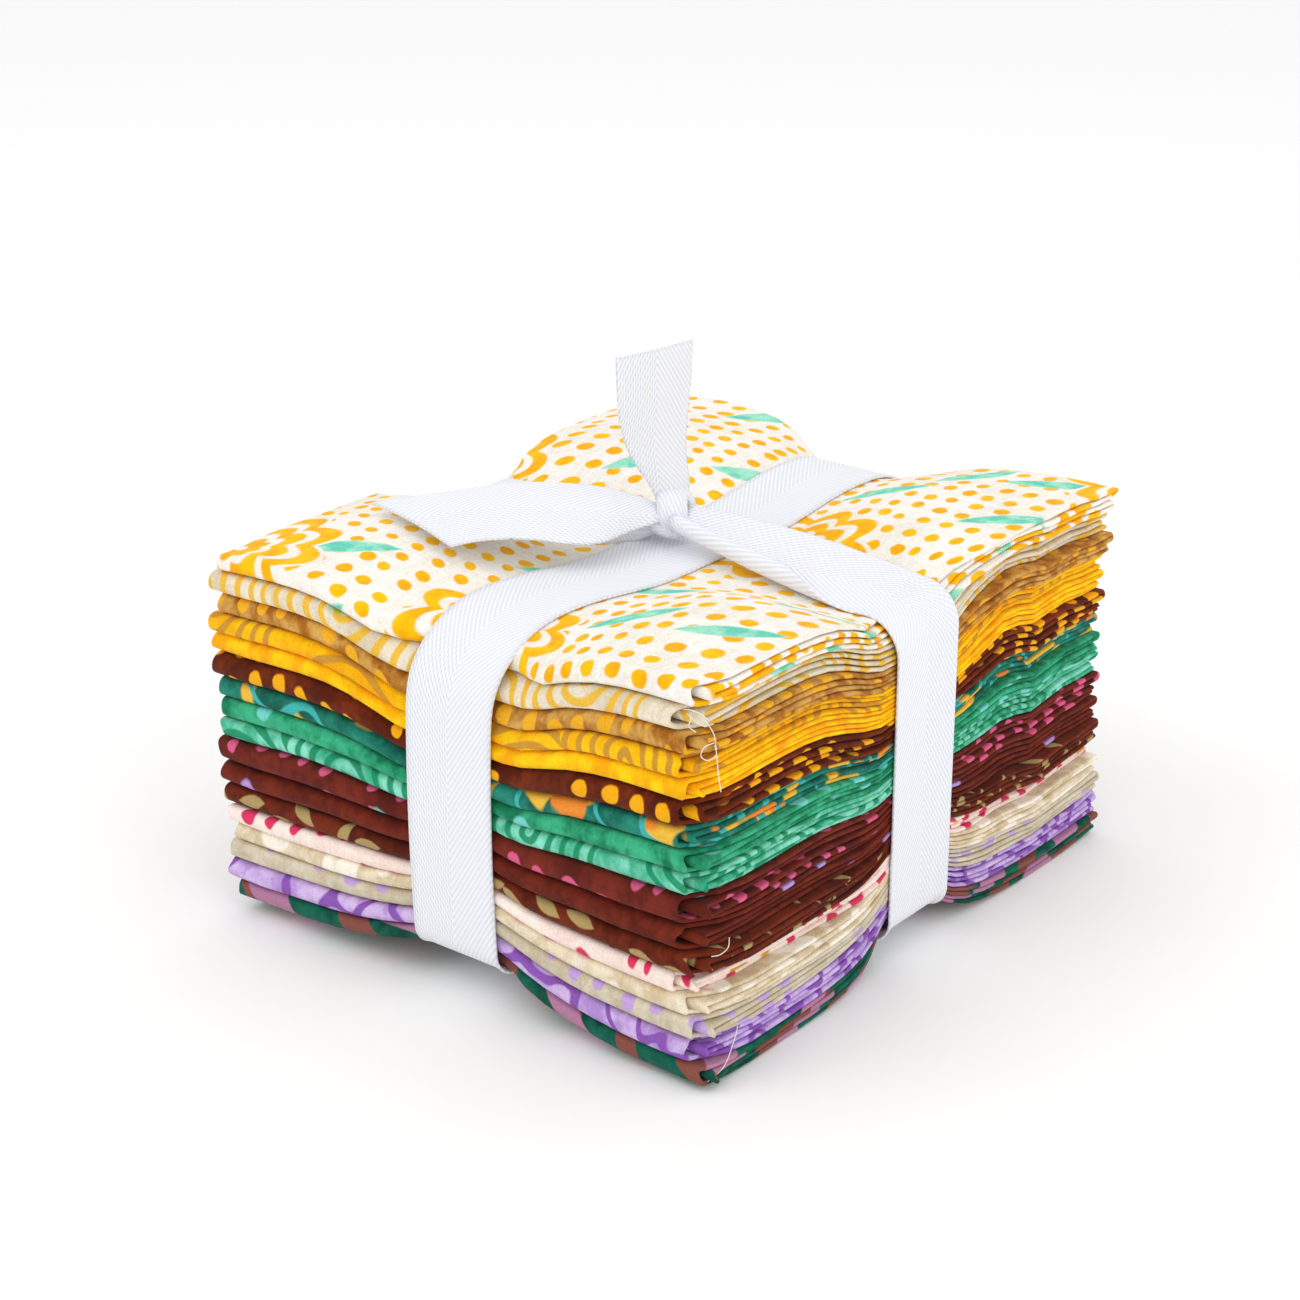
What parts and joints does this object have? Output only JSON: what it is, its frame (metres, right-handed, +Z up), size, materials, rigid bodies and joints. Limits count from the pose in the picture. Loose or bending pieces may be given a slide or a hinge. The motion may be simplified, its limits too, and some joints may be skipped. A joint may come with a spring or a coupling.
{
  "type": "fat quarter bundle",
  "caption": "Stack of folded printed cotton cloths for quilting, tied both ways with a white twill ribbon in a knot with two free ends.",
  "frame": {"origin": "middle of the surface that the bundle stands on, under the middle of the stack", "axes": "+Z up, X along the closed folds, which face -Y at the front, and Y across them"},
  "size_m": [0.118, 0.1379, 0.1128],
  "materials": {
    "cloth_01_ivory": "matt printed plain weave cotton",
    "cloth_02_cream": "matt printed plain weave cotton",
    "cloth_03_caramel": "matt printed plain weave cotton",
    "cloth_04_honey": "matt printed plain weave cotton",
    "cloth_05_yellow": "matt printed plain weave cotton",
    "cloth_06_rust": "matt printed plain weave cotton",
    "cloth_07_meadow": "matt printed plain weave cotton",
    "cloth_08_emerald": "matt printed plain weave cotton",
    "cloth_09_mint": "matt printed plain weave cotton",
    "cloth_10_brick": "matt printed plain weave cotton",
    "cloth_11_cocoa": "matt printed plain weave cotton",
    "cloth_12_walnut": "matt printed plain weave cotton",
    "cloth_13_blush": "matt printed plain weave cotton",
    "cloth_14_oat": "matt printed plain weave cotton",
    "cloth_15_stone": "matt printed plain weave cotton",
    "cloth_16_lilac": "matt printed plain weave cotton",
    "cloth_17_pine": "matt printed plain weave cotton",
    "ribbon": "matt herringbone twill tape"
  },
  "bodies": {
    "root": {"cloth_01_ivory": "cloth_01_ivory", "cloth_02_cream": "cloth_02_cream", "cloth_03_caramel": "cloth_03_caramel", "cloth_04_honey": "cloth_04_honey", "cloth_05_yellow": "cloth_05_yellow", "cloth_06_rust": "cloth_06_rust", "cloth_07_meadow": "cloth_07_meadow", "cloth_08_emerald": "cloth_08_emerald", "cloth_09_mint": "cloth_09_mint", "cloth_10_brick": "cloth_10_brick", "cloth_11_cocoa": "cloth_11_cocoa", "cloth_12_walnut": "cloth_12_walnut", "cloth_13_blush": "cloth_13_blush", "cloth_14_oat": "cloth_14_oat", "cloth_15_stone": "cloth_15_stone", "cloth_16_lilac": "cloth_16_lilac", "cloth_17_pine": "cloth_17_pine", "ribbon": "ribbon"}
  },
  "joints": []
}
